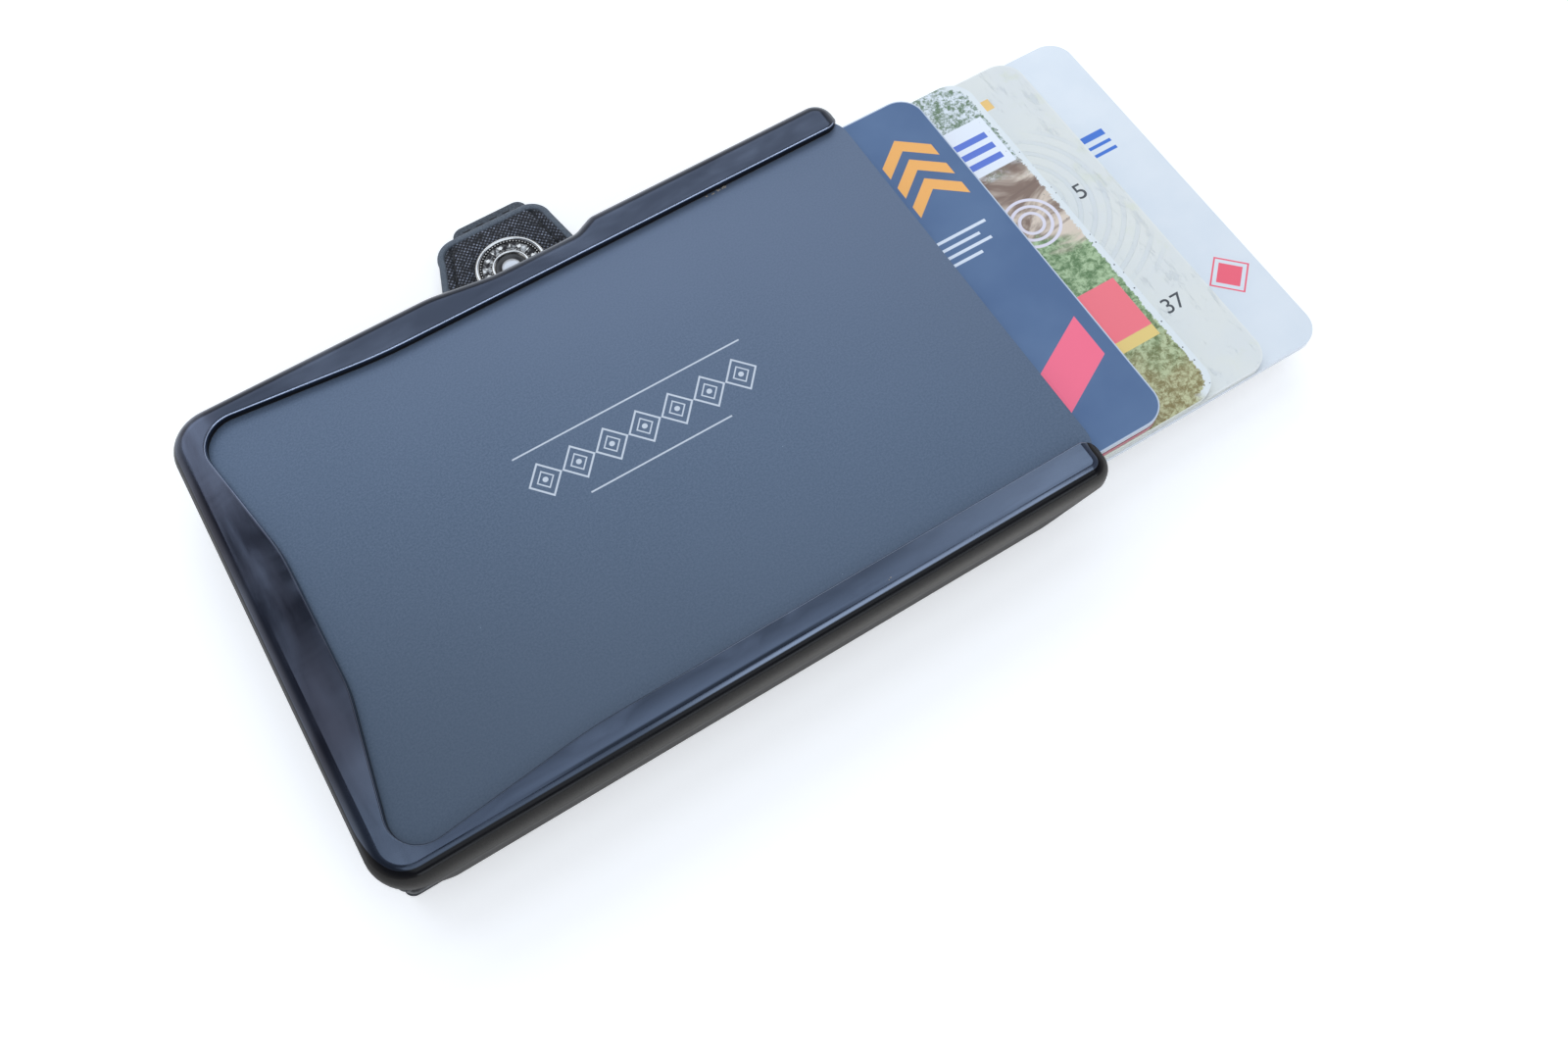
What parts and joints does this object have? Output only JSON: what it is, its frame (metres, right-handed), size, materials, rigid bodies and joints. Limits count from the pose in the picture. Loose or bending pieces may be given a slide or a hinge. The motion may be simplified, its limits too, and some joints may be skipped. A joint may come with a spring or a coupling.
{
  "type": "card wallet",
  "caption": "Slim hard-shell card wallet with metal plates, cards fanned out of one end by a side slider, and a soft back pocket with a snap strap.",
  "frame": {"origin": "middle of the back pocket's underside, under the middle of the frame", "axes": "+X to the open end where the cards come out, +Y to the side with the snap tab, +Z out of the front plate"},
  "size_m": [0.1229, 0.0768, 0.013],
  "materials": {
    "frame_black": "glossy moulded black plastic, satin on the side walls",
    "plate_slate": "matte anodised slate blue-grey aluminium",
    "steel": "stamped spring steel",
    "rubber_black": "matte black rubber",
    "pad_foam": "black foam",
    "silicone": "silicone",
    "guide_plastic": "matte black plastic",
    "pocket_fabric": "black woven nylon",
    "pocket_leather": "smooth black leather",
    "canvas": "coarse black woven canvas",
    "snap_metal": "worn gunmetal plating",
    "snap_dome": "bright nickel plating",
    "card_navy": "matte navy print",
    "card_red": "red core",
    "card_photo": "worn printed picture",
    "card_cream": "worn cream laminate",
    "card_white": "bluish white laminate"
  },
  "bodies": {
    "case": {"frame": "frame_black", "front_plate": "plate_slate", "rear_plate": "plate_slate", "end_pad": "rubber_black", "stop_bumper": "rubber_black", "card_guide_bar": "guide_plastic", "brake_spring": "steel", "brake_pad": "silicone", "pouch_mounting_pad": "pad_foam", "pouch_inner_panel": "pocket_fabric", "pouch_outer_panel": "pocket_leather", "pouch_gusset": "pocket_fabric", "tab_backing": "pocket_leather", "tab_canvas": "canvas", "snap_stud": "snap_metal", "snap_post": "snap_dome", "strap_root": "pocket_leather"},
    "slider": {"drive_strip": "steel", "slider_button": "guide_plastic", "slider_pin": "steel"},
    "cream_pusher": {"cream_pusher": "steel"},
    "photo_pusher": {"photo_pusher": "steel"},
    "navy_pusher": {"navy_pusher": "steel"},
    "navy_card": {"navy_card": "card_navy"},
    "red_card": {"red_card": "card_red"},
    "photo_card": {"photo_card": "card_photo"},
    "cream_card": {"cream_card": "card_cream"},
    "white_card": {"white_card": "card_white"},
    "strap": {"closing_strap": "pocket_leather", "strap_liner": "pocket_leather", "snap_socket": "snap_metal", "snap_cap": "snap_metal"}
  },
  "joints": [
    {"name": "slider_slide", "type": "slide", "parent": "case", "child": "slider", "axis": [1, 0, 0], "range_m": [-0.03441, 0]},
    {"name": "cream_pusher_slide", "type": "slide", "parent": "case", "child": "cream_pusher", "axis": [1, 0, 0], "range_m": [-0.02646, 0]},
    {"name": "photo_pusher_slide", "type": "slide", "parent": "case", "child": "photo_pusher", "axis": [1, 0, 0], "range_m": [-0.01849, 0]},
    {"name": "navy_pusher_slide", "type": "slide", "parent": "case", "child": "navy_pusher", "axis": [1, 0, 0], "range_m": [-0.01052, 0]},
    {"name": "navy_card_slide", "type": "slide", "parent": "navy_pusher", "child": "navy_card", "axis": [1, 0, 0], "range_m": [0, 0.087]},
    {"name": "red_card_slide", "type": "slide", "parent": "navy_pusher", "child": "red_card", "axis": [1, 0, 0], "range_m": [0, 0.087]},
    {"name": "photo_card_slide", "type": "slide", "parent": "photo_pusher", "child": "photo_card", "axis": [1, 0, 0], "range_m": [0, 0.087]},
    {"name": "cream_card_slide", "type": "slide", "parent": "cream_pusher", "child": "cream_card", "axis": [1, 0, 0], "range_m": [0, 0.087]},
    {"name": "white_card_slide", "type": "slide", "parent": "slider", "child": "white_card", "axis": [1, 0, 0], "range_m": [0, 0.087]},
    {"name": "strap_hinge", "type": "hinge", "parent": "case", "child": "strap", "pos_m": [0.0019, 0.0305, 0.00105], "axis": [-1, 0, 0], "range_deg": [0, 100]}
  ],
  "couplings": [
    {"joint": "cream_pusher_slide", "follows": "slider_slide", "ratio": 0.76838},
    {"joint": "photo_pusher_slide", "follows": "slider_slide", "ratio": 0.53676},
    {"joint": "navy_pusher_slide", "follows": "slider_slide", "ratio": 0.30514}
  ]
}
